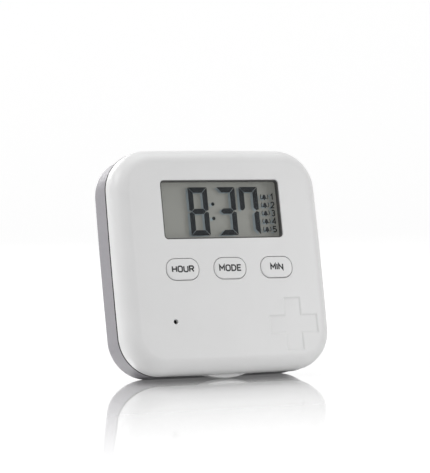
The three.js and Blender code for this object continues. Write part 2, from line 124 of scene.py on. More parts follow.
COVER_SCREWS = [(34.6 * i, 34.6 * j) for i in (-1, 1) for j in (-1, 1)]
DOOR_X, DOOR_Z, DOOR_WIDTH, DOOR_HEIGHT, DOOR_TRAVEL = 7.85, -20.75, 50.2, 22.6, 3
TONGUES = [(DOOR_X + dx, side) for dx in (-13, 17) for side in (1, -1)]

# How far a cutter runs to be clear of the whole object, and of the closed lid's cover.
FAR, BEHIND_COVER = 80, 20


def button_x(index):
    return BUTTON_X + (index - 1) * BUTTON_PITCH


# ---- Outlines, as lists of (x, z) ----

QUARTER_TURNS = [(1, 0), (0, 1), (-1, 0), (0, -1)]  # the cosine and sine of each


def outline(half, corner_steps=28, side_steps=10):
    """The object's outline, or one parallel to it and `half` from the middle."""
    inset = FACE_HALF - half
    side, corner = SIDE_RADIUS - inset, CORNER_RADIUS - inset
    turn = math.acos((side - half) / (side - corner) / math.sqrt(2)) - math.pi / 4
    centre = (side - corner) * math.sin(turn)
    quarter = []
    for i in range(side_steps):
        a = -turn + 2 * turn * i / side_steps
        quarter.append((half - side + side * math.cos(a), side * math.sin(a)))
    for i in range(corner_steps):
        a = turn + (math.pi / 2 - 2 * turn) * i / corner_steps
        quarter.append((centre + corner * math.cos(a), centre + corner * math.sin(a)))
    return [(x * c - z * s, x * s + z * c) for c, s in QUARTER_TURNS for x, z in quarter]


def rounded_rectangle(width, height, corner, x=0, z=0, grow=0, steps=12):
    w, h, r = width / 2 + grow, height / 2 + grow, max(corner + grow, 0.05)
    points = []
    for k, (i, j) in enumerate([(1, 1), (-1, 1), (-1, -1), (1, -1)]):
        for n in range(steps + 1):
            a = (k + n / steps) * math.pi / 2
            points.append((x + i * (w - r) + r * math.cos(a), z + j * (h - r) + r * math.sin(a)))
    return points


def button_outline(index, grow, steps=12):
    return rounded_rectangle(**BUTTON, x=button_x(index), z=BUTTON_Z, grow=grow, steps=steps)


def circle(radius, x=0, z=0, steps=40):
    return [
        (x + radius * math.cos(2 * math.pi * i / steps), z + radius * math.sin(2 * math.pi * i / steps))
        for i in range(steps)
    ]


def plus_sign(span, arm, x, z, grow):
    a, b = span / 2 + grow, arm / 2 + grow
    quarter = [(a, -b), (a, b), (b, b)]
    return [(x + i * c - j * s, z + i * s + j * c) for c, s in QUARTER_TURNS for i, j in quarter]


# ---- Mesh building ----

def loft(rings):
    """A closed mesh through rings of equal length, each (y, points), with its two ends capped."""
    bm = bmesh.new()
    rows = [[bm.verts.new((x, y, z)) for x, z in points] for y, points in rings]
    count = len(rows[0])
    for one, two in zip(rows, rows[1:]):
        for i in range(count):
            j = (i + 1) % count
            bm.faces.new((one[i], one[j], two[j], two[i]))
    bm.faces.new(rows[0][::-1])
    bm.faces.new(rows[-1])
    bmesh.ops.recalc_face_normals(bm, faces=bm.faces)
    return bm


def prism(points, low, high):
    """A closed prism along x through points of (y, z)."""
    bm = bmesh.new()
    ends = [[bm.verts.new((t, *p)) for p in points] for t in (low, high)]
    for i in range(len(points)):
        j = (i + 1) % len(points)
        bm.faces.new((ends[0][i], ends[0][j], ends[1][j], ends[1][i]))
    bm.faces.new(ends[0][::-1])
    bm.faces.new(ends[1])
    bmesh.ops.recalc_face_normals(bm, faces=bm.faces)
    return bm


def prism_along_z(points, low, high):
    """A closed prism along z through points of (x, y)."""
    bm = prism(points, low, high)
    for vert in bm.verts:
        vert.co = (vert.co.y, vert.co.z, vert.co.x)
    bmesh.ops.recalc_face_normals(bm, faces=bm.faces)
    return bm


def box(x0, x1, y0, y1, z0, z1):
    return prism([(y0, z0), (y1, z0), (y1, z1), (y0, z1)], x0, x1)


def to_object(name, bm):
    """Turns a bmesh into an object, where it lies, and frees it."""
    mesh = bpy.data.meshes.new(name)
    bm.to_mesh(mesh)
    bm.free()
    obj = bpy.data.objects.new(name, mesh)
    bpy.context.scene.collection.objects.link(obj)
    return obj


def discard(obj):
    data = obj.data
    bpy.data.objects.remove(obj)
    bpy.data.meshes.remove(data)


def apply_modifiers(obj):
    graph = bpy.context.evaluated_depsgraph_get()
    made = bpy.data.meshes.new_from_object(obj.evaluated_get(graph))
    obj.modifiers.clear()
    old, obj.data = obj.data, made
    bpy.data.meshes.remove(old)


def boolean(obj, operation, *tools):
    """Joins bmesh tools to obj or cuts them from it, and applies the result."""
    for bm in tools:
        tool = to_object("tool", bm)
        modifier = obj.modifiers.new("boolean", "BOOLEAN")
        modifier.operation, modifier.solver, modifier.object = operation, "EXACT", tool
        apply_modifiers(obj)
        discard(tool)


def smooth(obj, degrees):
    """Smooth shading, with edges sharper than that many degrees kept and the flat faces left flat."""
    mesh = obj.data
    mesh.shade_smooth()
    bm = bmesh.new()
    bm.from_mesh(mesh)
    bmesh.ops.remove_doubles(bm, verts=bm.verts, dist=1e-7)
    limit = math.radians(degrees)
    for edge in bm.edges:
        edge.smooth = len(edge.link_faces) == 2 and edge.calc_face_angle(0) < limit
    bm.to_mesh(mesh)
    bm.free()
    modifier = obj.modifiers.new("weighted", "WEIGHTED_NORMAL")
    modifier.keep_sharp = True
    modifier.weight = 100
    apply_modifiers(obj)


def rounding(depth, inset, steps):
    """(y, inset) down a rounded-over edge, from its face to its side."""
    return [
        (depth * (1 - math.cos(t)), inset * (1 - math.sin(t)))
        for t in (math.pi / 2 * i / steps for i in range(steps + 1))
    ]


def drum(x, z, radius, y0, y1):
    """A cylinder along y."""
    return loft([(y0, circle(radius, x, z)), (y1, circle(radius, x, z))])


def lipped_hole(shape, radius, back):
    """A cutter with a rounded lip of that radius at the face. shape(grow) gives its outline."""
    rings = [(-1, shape(radius))]
    for i in range(6):
        t = math.pi / 2 * i / 5
        rings.append((radius * (1 - math.cos(t)), shape(radius * (1 - math.sin(t)))))
    return loft(rings + [(back, shape(0))])


def knuckle_profile(web_end):
    """A barrel round the pin with a web that runs to y = web_end, as (y, z)."""
    low, high = HINGE_Z - 0.5, HINGE_Z + 0.7
    towards = 1 if web_end > HINGE_Y else -1
    start, stop = (math.asin((z - HINGE_Z) / BARREL) for z in (high, low))
    barrel = []
    steps = 44
    for i in range(steps + 1):
        a = start + (2 * math.pi - (start - stop)) * i / steps
        barrel.append((HINGE_Y + towards * BARREL * math.cos(a), HINGE_Z + BARREL * math.sin(a)))
    return barrel + [(web_end, low), (web_end, high)]


def pin_bore():
    return prism([(y + HINGE_Y, z + HINGE_Z) for y, z in circle(PIN + 0.1)], -FAR, FAR)


# ---- Materials ----

class Nodes:
    """A short way to write a node material."""

    def __init__(self, name):
        self.material = bpy.data.materials.new(name)
        self.material.use_nodes = True
        self.tree = self.material.node_tree
        self.shader = self.tree.nodes["Principled BSDF"]
        self.coordinates = self.add("ShaderNodeTexCoord").outputs["Object"]

    def add(self, kind, **inputs):
        node = self.tree.nodes.new(kind)
        for key, value in inputs.items():
            self.feed(node.inputs[key], value)
        return node

    def feed(self, socket, value):
        if isinstance(value, bpy.types.NodeSocket):
            self.tree.links.new(value, socket)
        else:
            socket.default_value = value

    def noise(self, scale, detail=3, roughness=0.55):
        return self.add(
            "ShaderNodeTexNoise", Vector=self.coordinates, Scale=scale, Detail=detail, Roughness=roughness,
        ).outputs["Fac"]

    def remap(self, value, low, high, start=0.3, stop=0.7):
        node = self.add("ShaderNodeMapRange", Value=value)
        for key, number in (("From Min", start), ("From Max", stop), ("To Min", low), ("To Max", high)):
            node.inputs[key].default_value = number
        return node.outputs["Result"]

    def fade(self, value, start, stop, full):
        """Rises smoothly from nothing at start to full at stop."""
        node = self.add("ShaderNodeMapRange", Value=value)
        node.interpolation_type = "SMOOTHSTEP"
        for key, number in (("From Min", start), ("From Max", stop), ("To Min", 0), ("To Max", full)):
            node.inputs[key].default_value = number
        return node.outputs["Result"]

    def math(self, operation, one, two):
        node = self.add("ShaderNodeMath")
        node.operation = operation
        self.feed(node.inputs[0], one)
        self.feed(node.inputs[1], two)
        return node.outputs["Value"]

    def colours(self, value, *stops):
        node = self.add("ShaderNodeValToRGB", Fac=value)
        ramp = node.color_ramp
        while len(ramp.elements) < len(stops):
            ramp.elements.new(0.5)
        for element, (place, colour) in zip(ramp.elements, stops):
            element.position, element.color = place, (*colour, 1)
        return node.outputs["Color"]

    def bump(self, height, strength, distance, after=None):
        node = self.add("ShaderNodeBump", Height=height)
        node.inputs["Strength"].default_value = strength
        node.inputs["Distance"].default_value = distance
        if after:
            self.feed(node.inputs["Normal"], after)
        return node.outputs["Normal"]

    # Painted light: an emission that makes a part glow, though it is no lamp.
    def painted_glow(self, colour, strength):
        self.shader.inputs["Emission Color"].default_value = (*colour, 1)
        self.shader.inputs["Emission Strength"].default_value = strength

    def set(self, **values):
        for key, value in values.items():
            self.feed(self.shader.inputs[key.replace("_", " ")], value)
        return self.material


def shade(colour, amount):
    return tuple(min(1, c * amount) for c in colour)


def plastic(name, colour, rough, vary, relief=0.25, specular=0.5, coat=0.0, painted_glow=None):
    """Moulded plastic: faint cloudy colour, uneven gloss, and a fine spark-eroded grain, with a painted
    glow where one is given.
    """
    n = Nodes(name)
    cloudy = n.noise(60, 4)
    tone = n.colours(cloudy, (0.3, shade(colour, 1 - vary)), (0.7, shade(colour, 1 + vary)))
    gloss = n.remap(n.noise(900, 3), rough - 0.05, rough + 0.05)
    slow = n.bump(n.noise(140, 2), 0.12, 0.0003)
    fine = n.bump(n.noise(9000, 2), relief, 0.00003, slow)
    n.set(Base_Color=tone, Roughness=gloss, Normal=fine)
    n.shader.inputs["Specular IOR Level"].default_value = specular
    n.shader.inputs["Coat Weight"].default_value = coat
    if painted_glow:
        n.painted_glow(*painted_glow)
    return n.material


def brushed(name, colour, rough):
    """Plated metal with faint drawn lines."""
    n = Nodes(name)
    mapping = n.add("ShaderNodeMapping", Vector=n.coordinates)
    mapping.inputs["Scale"].default_value = (30, 2500, 2500)
    drawn = n.add("ShaderNodeTexNoise", Vector=mapping.outputs["Vector"], Scale=1.0, Detail=3.0)
    lines = drawn.outputs["Fac"]
    tone = n.colours(n.noise(400), (0.3, shade(colour, 0.88)), (0.7, shade(colour, 1.05)))
    gloss = n.remap(lines, rough - 0.08, rough + 0.12)
    fine = n.bump(lines, 0.2, 0.00002)
    return n.set(Base_Color=tone, Roughness=gloss, Metallic=1.0, Normal=fine)


def clear(name, colour, alpha):
    """A clear pane: its alpha lets light and sight through, and faint handling marks vary its gloss."""
    n = Nodes(name)
    gloss = n.remap(n.noise(120, 4), 0.04, 0.1)
    tone = n.colours(n.noise(30), (0.3, shade(colour, 0.98)), (0.7, colour))
    n.set(Base_Color=tone, Roughness=gloss)
    n.shader.inputs["Alpha"].default_value = alpha
    return n.material


def board_material(name):
    """Green solder mask with lighter copper tracks under it."""
    n = Nodes(name)
    grid = n.add("ShaderNodeTexBrick", Vector=n.coordinates, Scale=160.0)
    grid.inputs["Color1"].default_value = (0.012, 0.14, 0.055, 1)
    grid.inputs["Color2"].default_value = (0.015, 0.17, 0.065, 1)
    grid.inputs["Mortar"].default_value = (0.03, 0.28, 0.11, 1)
    grid.inputs["Mortar Size"].default_value = 0.04
    gloss = n.remap(n.noise(500), 0.28, 0.42)
    fine = n.bump(n.noise(1500), 0.1, 0.00003)
    return n.set(Base_Color=grid.outputs["Color"], Roughness=gloss, Normal=fine)


def frosted(name):
    """Translucent moulded plastic that scatters light inside."""
    n = Nodes(name)
    colour = (0.78, 0.82, 0.84)
    tone = n.colours(n.noise(50, 4), (0.3, shade(colour, 0.97)), (0.7, colour))
    gloss = n.remap(n.noise(700), 0.3, 0.42)
    fine = n.bump(n.noise(5000), 0.2, 0.00003)
    n.set(Base_Color=tone, Roughness=gloss, Normal=fine)
    n.shader.inputs["Subsurface Weight"].default_value = 0.35
    n.shader.inputs["Subsurface Scale"].default_value = 0.002
    return n.material


def reflector(name):
    """The display's ground: a matt silver-green reflector with a fine sparkle, lit from within by a faint
    painted glow.
    """
    n = Nodes(name)
    tone = n.colours(n.noise(12000, 2), (0.35, (0.2, 0.202, 0.187)), (0.65, (0.23, 0.232, 0.214)))
    gloss = n.remap(n.noise(4000), 0.5, 0.65)
    fine = n.bump(n.noise(9000), 0.2, 0.00002)
    # Painted light: the ground glows faintly, though it is no lamp, to lift the shade that the window's
    # edges cast on it.
    n.painted_glow((0.5, 0.505, 0.465), 0.23)
    return n.set(Base_Color=tone, Roughness=gloss, Normal=fine)


WHITE = (0.755, 0.755, 0.755)
MATERIALS = {
    "lid_white": plastic("lid_white", WHITE, 0.38, vary=0.012, relief=0.3),
    "key_white": plastic("key_white", WHITE, 0.36, vary=0.012, relief=0.2),
    "case_grey": plastic("case_grey", (0.29, 0.28, 0.302), 0.46, vary=0.02, relief=0.4),
    "frosted_plastic": frosted("frosted_plastic"),
    "lens_clear": clear("lens_clear", (0.2, 0.21, 0.21), 0.02),
    "display_glass": clear("display_glass", (0.2, 0.22, 0.22), 0.02),
    "reflector_foil": reflector("reflector_foil"),
    "gasket_black": plastic("gasket_black", (0.07, 0.07, 0.068), 0.6, vary=0.1),
    "part_black": plastic("part_black", (0.02, 0.02, 0.022), 0.55, vary=0.15),
    "resin_black": plastic("resin_black", (0.012, 0.012, 0.012), 0.18, vary=0.1, relief=0.05, coat=0.4),
    "contact_rubber": plastic("contact_rubber", (0.05, 0.05, 0.055), 0.8, vary=0.2, specular=0.3),
    "board_green": board_material("board_green"),
    "steel": brushed("steel", (0.62, 0.62, 0.63), 0.28),
    "nickel": brushed("nickel", (0.68, 0.64, 0.56), 0.25),
    "cell_sleeve": plastic("cell_sleeve", (0.03, 0.11, 0.26), 0.28, vary=0.06, relief=0.05, coat=0.3),
    "lead_red": plastic("lead_red", (0.35, 0.015, 0.015), 0.4, vary=0.08),
    "lead_black": plastic("lead_black", (0.015, 0.015, 0.015), 0.4, vary=0.1),
}
INK = plastic("label_ink", (0.02, 0.02, 0.022), 0.55, vary=0.08, relief=0.1)
SEGMENT = plastic("display_segment", (0.010, 0.013, 0.016), 0.5, vary=0.05, relief=0.05, specular=0.2)
# Painted shadow: a darker copy of the segments on the reflector, with a faint painted glow to lighten it.
SHADOW = plastic(
    "display_shadow", (0.25, 0.305, 0.33), 0.5, vary=0.05, relief=0.05, painted_glow=((0.44, 0.5, 0.53), 0.12),
)
SEAM = plastic("lid_seal", (0.02, 0.02, 0.02), 0.6, vary=0.1)

# Every CAD node gets its slot's material. Those that stay in view keep it.
for entry in frame["record"]["subparts"]:
    carried = bpy.data.objects[entry["node"]]
    carried.data.materials.clear()
    carried.data.materials.append(MATERIALS[entry["material_slot"]])


def finish_piece(obj, body, slot, replaced=(), degrees=32, material=None):
    """Leans a piece back with the case, gives it its finish, and rides it on its body."""
    obj.data.transform(TO_WORLD)
    smooth(obj, degrees)
    obj.data.materials.clear()
    obj.data.materials.append(material or MATERIALS[slot])
    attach(obj, body)
    if replaced:
        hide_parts(*replaced)
    return obj


# ---- Lid ----

def ground_drop():
    """How far the ground lies below the middle of the face, square to the ground."""
    depth, inset = CASE_ROUND
    sin, cos = math.sin(LEAN), math.cos(LEAN)
    reach = math.hypot(depth * sin, inset * cos)
    touch_y = CASE_DEPTH - depth + depth ** 2 * sin / reach
    touch_z = FACE_HALF - CASE_INSET - inset + inset ** 2 * cos / reach
    return touch_y * sin + touch_z * cos - STAND_FLAT


def tab_drop():
    """How far the tab hangs below the lid, so that its lower back edge meets the ground."""
    return (ground_drop() - TAB_BACK * math.sin(LEAN)) / math.cos(LEAN) - FACE_HALF


def thumb_tab():
    """The lip under the lid, a slice of a disc with its edges eased."""
    root, ease, steps = -FACE_HALF + TAB_ROOT, 0.35, 48
    middle = -FACE_HALF - tab_drop() + TAB_RADIUS
    front_edge = [(TAB_FRONT, ease), (TAB_FRONT + 0.1, 0.1), (TAB_FRONT + ease, 0)]
    back_edge = [(TAB_BACK - 0.1, 0), (TAB_BACK, 0.05)]
    rings = []
    for y, shrink in front_edge + back_edge:
        radius = TAB_RADIUS - shrink
        half = math.acos((middle - root) / radius)
        angles = [-math.pi / 2 - half + 2 * half * i / steps for i in range(steps + 1)]
        rings.append((y, [(radius * math.cos(a), middle + radius * math.sin(a)) for a in angles]))
    return loft(rings)


def lid():
    """The lid's shell, pillowed at the face and hollow behind, with its tab, knuckles and holes."""
    rings = [(y, outline(FACE_HALF - inset)) for y, inset in rounding(*LID_ROUND, 20)]
    rings += [(LID_DEPTH - 0.25, outline(FACE_HALF)), (LID_DEPTH - 0.07, outline(FACE_HALF - 0.07))]
    rings += [(LID_DEPTH, outline(FACE_HALF - 0.25)), (LID_DEPTH, outline(FACE_HALF - LID_WALL))]
    inner = rounding(LID_ROUND[0] - LID_WALL, LID_ROUND[1] - LID_WALL, 8)
    rings += [(LID_WALL + y, outline(FACE_HALF - LID_WALL - inset)) for y, inset in reversed(inner)]
    obj = to_object("lid", loft(rings))
    profile = knuckle_profile(8.8)
    gap = MIDDLE + FIT
    boolean(obj, "UNION", thumb_tab(), prism(profile, -HINGE_END, -gap), prism(profile, gap, HINGE_END))

    through = 3
    cutters = [pin_bore(), lipped_hole(lambda grow: rounded_rectangle(**WINDOW, grow=grow), 0.3, through)]
    for i in range(len(BUTTONS)):
        cutters.append(lipped_hole(lambda grow: button_outline(i, BUTTON_GAP + grow), 0.2, through))
    cutters.append(lipped_hole(lambda grow: circle(HOLE_RADIUS + grow, HOLE_X, HOLE_Z), 0.12, through))
    cross_walls = [(-1, 0.45), (0, 0.45), (0.1, 0.2), (0.3, -0.2), (0.4, -0.45)]
    cutters.append(loft([(y, plus_sign(**CROSS, grow=grow)) for y, grow in cross_walls]))
    boolean(obj, "DIFFERENCE", *cutters)
    return finish_piece(obj, "lid", "lid_white", ["lid_shell"], degrees=28)


def around_tab():
    """A cutter that keeps the seal and the case clear of the tab."""
    return box(-12, 12, 0, TAB_BACK + 0.4, -FAR, -FACE_HALF + TAB_ROOT + FIT)


def seal():
    """The dark strip round the lid's back edge."""
    wide, narrow = outline(FACE_HALF + 0.1), outline(FACE_HALF)
    ring = [(SEAL_FRONT, narrow), (SEAL_FRONT + 0.1, wide), (SEAL_BACK - 0.1, wide), (SEAL_BACK, narrow)]
    obj = to_object("seal", loft(ring))
    inside = outline(FACE_HALF - SEAL_WIDTH)
    middle = loft([(SEAL_FRONT - 1, inside), (SEAL_BACK + 1, inside)])
    hinge_gap = box(-HINGE_END - 2 * FIT, HINGE_END + 2 * FIT, 0, FAR, 0, FAR)
    boolean(obj, "DIFFERENCE", middle, hinge_gap, around_tab())
    return finish_piece(obj, "lid", "gasket_black", ["lid_seal"], material=SEAM)


def keycap(index, name):
    """A cap with a faintly domed top, a rounded edge, a flange behind the lid and a foot on its switch."""

    def shape(grow):
        return button_outline(index, grow, steps=20)

    rings = [(-0.3, shape(-2.2)), (-0.285, shape(-1.2))]
    rings += [(-0.26 + y, shape(-inset)) for y, inset in rounding(0.4, 0.5, 8)]
    rings += [(2.1, shape(0)), (2.1, shape(0.7)), (2.9, shape(0.7))]
    obj = to_object(f"key_{name}", loft(rings))
    boolean(obj, "UNION", drum(button_x(index), BUTTON_Z, 2, 2.8, 3.3))
    return finish_piece(obj, f"{name}_button", "key_white", [f"keycap_{name}"])


# ---- Case ----

def case():
    """The rear case: a shell with the hinge's middle knuckle, the catch's ridge and a flat to stand on."""
    half = FACE_HALF - CASE_INSET
    rings = [(CASE_FRONT, outline(half - 0.3)), (CASE_FRONT + 0.08, outline(half - 0.08))]
    rings += [(CASE_FRONT + 0.3, outline(half))]
    rings += [(CASE_DEPTH - y, outline(half - inset)) for y, inset in reversed(rounding(*CASE_ROUND, 18))]
    inner_half, floor = half - CASE_WALL, CASE_DEPTH - CASE_WALL
    inner = rounding(CASE_ROUND[0] - CASE_WALL, CASE_ROUND[1] - CASE_WALL, 8)
    hollow = [(CASE_FRONT - 2, outline(inner_half))]
    hollow += [(floor - y, outline(inner_half - inset)) for y, inset in reversed(inner)]
    obj = to_object("case", loft(rings))
    reach = BARREL + FIT
    hinge_gap = box(-HINGE_END - FIT, HINGE_END + FIT, 0, HINGE_Y + reach, HINGE_Z - reach, FAR)
    ground = box(-FAR, FAR, -FAR, FAR, -FAR, -ground_drop())
    bmesh.ops.rotate(ground, verts=ground.verts, cent=(0, 0, 0), matrix=Matrix.Rotation(LEAN, 3, "X"))
    boolean(obj, "DIFFERENCE", loft(hollow), hinge_gap, around_tab(), ground)
    inner_edge = -half + CASE_WALL
    ridge = box(-5, 5, CASE_FRONT + 0.1, CASE_FRONT + 0.9, inner_edge - 0.3, inner_edge + 0.6)
    boolean(obj, "UNION", ridge, prism(knuckle_profile(HINGE_Y + reach + 1.5), -MIDDLE, MIDDLE))
    boolean(obj, "DIFFERENCE", pin_bore())
    return finish_piece(obj, "case", "case_grey", ["rear_case"])


# ---- The back of the lid and the compartments ----

def inner_cover():
    """The pan that closes the back of the lid, with a flange inside the lid's rim."""
    back, wall, half = COVER_BACK, 1.2, 40.2
    rings = [(y, outline(FACE_HALF - LID_WALL - FIT)) for y in (8.5, 9.7)] + [(9.7, outline(half))]
    rings += [(back - y, outline(half - inset)) for y, inset in reversed(rounding(0.8, 0.8, 6))]
    obj = to_object("cover", loft(rings))
    inside = outline(half - wall)
    boolean(obj, "DIFFERENCE", loft([(7.5, inside), (back - wall, inside)]))
    screw_wells = [drum(x, z, 2.7, 8.6, back - 0.5) for x, z in COVER_SCREWS]
    catch_nose = box(-4, 4, 12, 13, -half - 0.95, -half + 0.5)
    boolean(obj, "UNION", *screw_wells, catch_nose)
    screw_heads = [drum(x, z, 2, 10.2, BEHIND_COVER) for x, z in COVER_SCREWS]
    screw_shanks = [drum(x, z, 1.3, 0, BEHIND_COVER) for x, z in COVER_SCREWS]
    width = DOOR_WIDTH + DOOR_TRAVEL + 2 * FIT
    doorway = rounded_rectangle(width, DOOR_HEIGHT + 2 * FIT, 1.3, DOOR_X - DOOR_TRAVEL / 2, DOOR_Z)
    openings = [loft([(10, doorway), (BEHIND_COVER, doorway)])]
    for tongue_x, side in TONGUES:
        x, z = tongue_x - DOOR_TRAVEL, DOOR_Z + side * DOOR_HEIGHT / 2
        openings.append(box(x - 3.2, x + 3.2, 10, BEHIND_COVER, z - 1.2, z + 1.2))
    boolean(obj, "DIFFERENCE", *screw_heads, *screw_shanks, *openings)
    return finish_piece(obj, "lid", "lid_white", ["inner_cover"])


def battery_door():
    """A flat door with eased edges, four tongues under its rim and five grooves to push it by."""
    front, back = 13.3, COVER_BACK

    def shape(grow):
        return rounded_rectangle(DOOR_WIDTH, DOOR_HEIGHT, 1, DOOR_X, DOOR_Z, grow)

    rings = [(front, shape(0))]
    rings += [(back - y, shape(-inset)) for y, inset in reversed(rounding(0.3, 0.3, 5))]
    obj = to_object("door", loft(rings))
    for x, side in TONGUES:
        edge = DOOR_Z + side * DOOR_HEIGHT / 2
        stem = sorted((edge - side, edge - side * 0.1))
        tongue = sorted((edge - side, edge + side * 0.8))
        boolean(obj, "UNION", box(x - 2.5, x + 2.5, 12.3, 14.0, *stem))
        boolean(obj, "UNION", box(x - 2.5, x + 2.5, 12.3, 13.0, *tongue))
    grooves = []
    groove_half, groove_depth, reach = 0.45, 0.32, 5
    angles = [math.pi * k / 10 for k in range(11)]
    for i in range(5):
        x = DOOR_X + 12.4 + 1.6 * i
        bottom = [(x + groove_half * math.cos(t), back - groove_depth * math.sin(t)) for t in angles]
        points = [(x + groove_half, BEHIND_COVER), *bottom, (x - groove_half, BEHIND_COVER)]
        grooves.append(prism_along_z(points, DOOR_Z - reach, DOOR_Z + reach))
    boolean(obj, "DIFFERENCE", *grooves)
    return finish_piece(obj, "battery_cover", "lid_white", ["battery_door"])


def pill_insert():
    """Five compartments with rounded bottoms, three above and two below."""
    half, front, back, wall, floor, thin = 41.6, 15.2, 23.9, 0.9, 0.9, 0.5

    def tray(size, y0, y1, depth, inset):
        return loft([(y0, outline(size))] + [
            (y1 - y, outline(size - step)) for y, step in reversed(rounding(depth, inset, 10))
        ])

    wells = to_object("wells", tray(half - wall, front - 2, back - floor, 2.6, 2.8))
    third = half / 3
    boolean(
        wells, "DIFFERENCE",
        box(-FAR, FAR, 0, FAR, -thin, thin),
        box(-third - thin, -third + thin, 0, FAR, 0, FAR),
        box(third - thin, third + thin, 0, FAR, 0, FAR),
        box(-thin, thin, 0, FAR, -FAR, 0),
    )
    cutter = bmesh.new()
    cutter.from_mesh(wells.data)
    discard(wells)
    obj = to_object("insert", tray(half, front, back, 3.6, 3.8))
    boolean(obj, "DIFFERENCE", cutter)
    return finish_piece(obj, "case", "frosted_plastic", ["pill_insert"])


# ---- Lettering and display ----

def strokes_mesh(bm, strokes, width, y0, y1, x, z):
    """Adds flat ribbons along polylines of (x, z) points, with mitred joints and square ends."""
    for points in strokes:
        line = [Vector(p) for p in points]
        closed = (line[0] - line[-1]).length < 1e-6 and len(line) > 2
        if closed:
            line = line[:-1]
        count = len(line)
        sides = []
        for i, point in enumerate(line):
            before = line[(i - 1) % count] if closed or i else None
            after = line[(i + 1) % count] if closed or i < count - 1 else None
            one = (point - before).normalized() if before is not None else (after - point).normalized()
            two = (after - point).normalized() if after is not None else one
            normal = Vector((-one.y - two.y, one.x + two.x)).normalized()
            reach = width / 2 / max(0.35, normal.dot(Vector((-one.y, one.x))))
            sides.append((point + normal * reach, point - normal * reach))
        spans = count if closed else count - 1
        corners = [
            [[bm.verts.new((x + p.x, y, z + p.y)) for y in (y0, y1)] for p in pair] for pair in sides
        ]
        for i in range(spans):
            (a, b), (c, d) = corners[i], corners[(i + 1) % count]
            bm.faces.new((a[0], c[0], d[0], b[0]))
            bm.faces.new((a[1], b[1], d[1], c[1]))
            bm.faces.new((a[0], a[1], c[1], c[0]))
            bm.faces.new((b[0], d[0], d[1], b[1]))
        if not closed:
            for (a, b), turn in ((corners[0], 1), (corners[-1], -1)):
                bm.faces.new((a[0], b[0], b[1], a[1])[::turn])


def arc(cx, cz, radius, start, stop, steps=6):
    angles = [math.radians(start + (stop - start) * i / steps) for i in range(steps + 1)]
    return [(cx + radius * math.cos(a), cz + radius * math.sin(a)) for a in angles]


# Letters one unit tall, as strokes of (x, z) points. ROUND is the corners' radius in O and U.
ROUND = 0.28
LETTERS = {
    "H": [[(0, 0), (0, 1)], [(0.78, 0), (0.78, 1)], [(0, 0.5), (0.78, 0.5)]],
    "O": [arc(ROUND, ROUND, ROUND, 270, 180) + arc(ROUND, 1 - ROUND, ROUND, 180, 90)
          + arc(0.8 - ROUND, 1 - ROUND, ROUND, 90, 0) + arc(0.8 - ROUND, ROUND, ROUND, 0, -90)
          + [(ROUND, 0)]],
    "U": [[(0, 1)] + arc(ROUND, ROUND, ROUND, 180, 270) + arc(0.78 - ROUND, ROUND, ROUND, 270, 360)
          + [(0.78, 1)]],
    "R": [[(0, 0), (0, 1)] + arc(0.5, 0.74, 0.26, 90, -90) + [(0.04, 0.48)], [(0.45, 0.48), (0.76, 0)]],
    "M": [[(0, 0), (0, 1), (0.45, 0.4), (0.9, 1), (0.9, 0)]],
    "D": [[(0, 0), (0, 1)] + arc(0.38, 0.6, 0.4, 90, 0) + arc(0.38, 0.4, 0.4, 0, -90) + [(0, 0)]],
    "E": [[(0.68, 0), (0, 0), (0, 1), (0.68, 1)], [(0, 0.5), (0.6, 0.5)]],
    "I": [[(0, 0), (0, 1)]],
    "N": [[(0, 0), (0, 1), (0.78, 0), (0.78, 1)]],
    "1": [[(0.1, 0.72), (0.4, 1), (0.4, 0)]],
    "2": [arc(0.3, 0.7, 0.3, 160, -30) + [(0, 0), (0.62, 0)]],
    "3": [arc(0.3, 0.74, 0.26, 150, -90), arc(0.3, 0.26, 0.27, 90, -150)],
    "4": [[(0.5, 0), (0.5, 1), (0, 0.3), (0.66, 0.3)]],
    "5": [[(0.6, 1), (0.08, 1), (0.04, 0.56)] + arc(0.3, 0.32, 0.31, 100, -150)],
}


def width_of(character):
    return max(x for stroke in LETTERS[character] for x, _ in stroke)


def word(text, height, width, stroke, x, z, y0, y1):
    """A word of stroke letters, centred on (x, z) and spread to `width` overall."""
    bm = bmesh.new()
    tall = height - stroke
    natural = sum(width_of(c) for c in text) * tall
    space = (width - stroke - natural) / (len(text) - 1)
    pen = x - (width - stroke) / 2
    for character in text:
        scaled = [[(px * tall, pz * tall) for px, pz in line] for line in LETTERS[character]]
        strokes_mesh(bm, scaled, stroke, y0, y1, pen, z - tall / 2)
        pen += width_of(character) * tall + space
    bmesh.ops.recalc_face_normals(bm, faces=bm.faces)
    return bm


def add_labels():
    """The buttons' words, in a layer of ink on the keycaps' tops."""
    widths = {"hour": 9.4, "mode": 9.6, "min": 5.7}
    height, stroke, ink_top, ink_bottom = 2.7, 0.56, -0.33, -0.295
    for i, name in enumerate(BUTTONS):
        place = (button_x(i), BUTTON_Z + 0.1, ink_top, ink_bottom)
        bm = word(name.upper(), height, widths[name], stroke, *place)
        obj = to_object(f"label_{name}", bm)
        finish_piece(obj, f"{name}_button", "part_black", material=INK)


# The front and back of the lit segments, in the glass, and of a painted shadow of them: a darker copy laid
# on the reflector where their shade falls.
SEGMENT_LAYER, SHADOW_LAYER = (3.225, 3.275), (5.34, 5.37)
DISPLAY_X, DISPLAY_Z = 1.5, 0.55


def plate(bm, layer, points):
    """Adds a thin flat shape that fills the layer."""
    rows = [[bm.verts.new((x, y, z)) for x, z in points] for y in layer]
    for i in range(len(points)):
        j = (i + 1) % len(points)
        bm.faces.new((rows[0][i], rows[0][j], rows[1][j], rows[1][i]))
    bm.faces.new(rows[0][::-1])
    bm.faces.new(rows[1])


